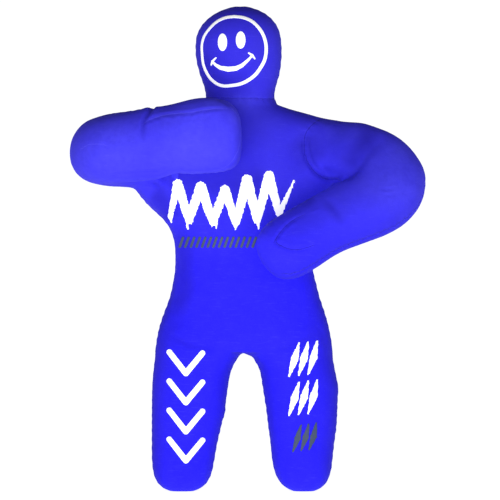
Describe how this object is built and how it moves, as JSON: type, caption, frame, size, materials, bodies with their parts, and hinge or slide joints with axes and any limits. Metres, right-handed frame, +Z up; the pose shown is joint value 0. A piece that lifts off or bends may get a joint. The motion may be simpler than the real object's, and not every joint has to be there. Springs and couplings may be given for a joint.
{
  "type": "grappling dummy",
  "caption": "Child-size stuffed fabric grappling dummy standing on two blunt leg stumps, arms folded in front of the chest, with a zip down the back.",
  "frame": {"origin": "centre of the bounding box seen from above, on the floor under the soles", "axes": "+Z up to the crown of the head, the figure faces -Y, its own left arm is on +X"},
  "size_m": [0.89, 0.3845, 1.22],
  "materials": {
    "blue_fabric": "matte knit with a slight sheen",
    "stuffing": "shredded fabric filling",
    "print_white": "screen print",
    "print_grey": "screen print",
    "zip_tape": "woven tape",
    "zip_teeth": "satin",
    "zip_metal": "satin"
  },
  "bodies": {
    "pelvis": {"pelvis_stuffing": "stuffing", "pelvis_front_panel": "blue_fabric", "pelvis_back_panel": "blue_fabric"},
    "chest": {"chest_stuffing": "stuffing", "chest_front_panel": "blue_fabric", "chest_back_right_panel": "blue_fabric", "chest_back_left_panel": "blue_fabric", "chest_zigzag_print": "print_white", "chest_stripe_print": "print_grey", "zip_right_tape": "zip_tape", "zip_left_tape": "zip_tape", "zip_right_teeth": "zip_teeth", "zip_left_teeth": "zip_teeth", "zip_top_stop": "zip_metal", "zip_bottom_stop": "zip_metal"},
    "head": {"head_stuffing": "stuffing", "head_back_panel": "blue_fabric", "head_front_panel": "blue_fabric", "face_ring_print": "print_white", "face_smile_print": "print_white", "face_right_eye_print": "print_white", "face_left_eye_print": "print_white"},
    "zip_slider": {"zip_slider": "zip_metal", "zip_slider_bridge": "zip_metal"},
    "zip_pull": {"zip_pull_tab": "zip_metal"},
    "right_upper_arm": {"right_upper_arm_stuffing": "stuffing", "right_upper_arm_outer_panel": "blue_fabric", "right_upper_arm_inner_panel": "blue_fabric", "right_elbow_stuffing": "stuffing"},
    "right_forearm": {"right_forearm_stuffing": "stuffing", "right_forearm_outer_panel": "blue_fabric", "right_forearm_inner_panel": "blue_fabric"},
    "right_thigh": {"right_thigh_stuffing": "stuffing", "right_thigh_front_panel": "blue_fabric", "right_thigh_back_panel": "blue_fabric", "right_thigh_print": "print_white"},
    "right_lower_leg": {"right_lower_leg_stuffing": "stuffing", "right_lower_leg_front_panel": "blue_fabric", "right_lower_leg_back_panel": "blue_fabric", "right_lower_leg_print": "print_white"},
    "left_upper_arm": {"left_upper_arm_stuffing": "stuffing", "left_upper_arm_outer_panel": "blue_fabric", "left_upper_arm_inner_panel": "blue_fabric", "left_elbow_stuffing": "stuffing"},
    "left_forearm": {"left_forearm_stuffing": "stuffing", "left_forearm_outer_panel": "blue_fabric", "left_forearm_inner_panel": "blue_fabric"},
    "left_thigh": {"left_thigh_stuffing": "stuffing", "left_thigh_front_panel": "blue_fabric", "left_thigh_back_panel": "blue_fabric", "left_thigh_print": "print_white"},
    "left_lower_leg": {"left_lower_leg_stuffing": "stuffing", "left_lower_leg_front_panel": "blue_fabric", "left_lower_leg_back_panel": "blue_fabric", "left_lower_leg_print": "print_grey"}
  },
  "joints": [
    {"name": "waist", "type": "hinge", "parent": "pelvis", "child": "chest", "pos_m": [-0.0075, 0.0836, 0.585], "axis": [1, 0, 0], "range_deg": [-20, 8]},
    {"name": "neck", "type": "hinge", "parent": "chest", "child": "head", "pos_m": [-0.019, 0.0791, 0.985], "axis": [1, 0, 0], "range_deg": [-25, 20]},
    {"name": "right_shoulder", "type": "hinge", "parent": "chest", "child": "right_upper_arm", "pos_m": [-0.225, 0.0771, 0.858], "axis": [0, 1, 0], "range_deg": [-8, 30]},
    {"name": "left_shoulder", "type": "hinge", "parent": "chest", "child": "left_upper_arm", "pos_m": [0.202, 0.0771, 0.858], "axis": [0, -1, 0], "range_deg": [-8, 25]},
    {"name": "right_elbow", "type": "hinge", "parent": "right_upper_arm", "child": "right_forearm", "pos_m": [-0.3685, -0.0249, 0.8585], "axis": [0, 0, -1], "range_deg": [0, 95]},
    {"name": "left_elbow", "type": "hinge", "parent": "left_upper_arm", "child": "left_forearm", "pos_m": [0.36852, -0.00593, 0.79597], "axis": [-0.0147, -0.8363, 0.5481], "range_deg": [0, 95]},
    {"name": "right_hip", "type": "hinge", "parent": "pelvis", "child": "right_thigh", "pos_m": [-0.1215, 0.0771, 0.352], "axis": [-1, 0, 0], "range_deg": [-20, 78]},
    {"name": "left_hip", "type": "hinge", "parent": "pelvis", "child": "left_thigh", "pos_m": [0.1065, 0.0771, 0.352], "axis": [-1, 0, 0], "range_deg": [-20, 78]},
    {"name": "right_knee", "type": "hinge", "parent": "right_thigh", "child": "right_lower_leg", "pos_m": [-0.152, 0.0671, 0.172], "axis": [1, 0, 0], "range_deg": [0, 85]},
    {"name": "left_knee", "type": "hinge", "parent": "left_thigh", "child": "left_lower_leg", "pos_m": [0.137, 0.0671, 0.172], "axis": [1, 0, 0], "range_deg": [0, 85]},
    {"name": "zip_slide", "type": "slide", "parent": "chest", "child": "zip_slider", "axis": [0, 0, 1], "range_m": [-0.205, 0]},
    {"name": "zip_pull_swing", "type": "hinge", "parent": "zip_slider", "child": "zip_pull", "pos_m": [-0.0075, 0.1907, 0.8378], "axis": [1, 0, 0], "range_deg": [0, 120]}
  ]
}
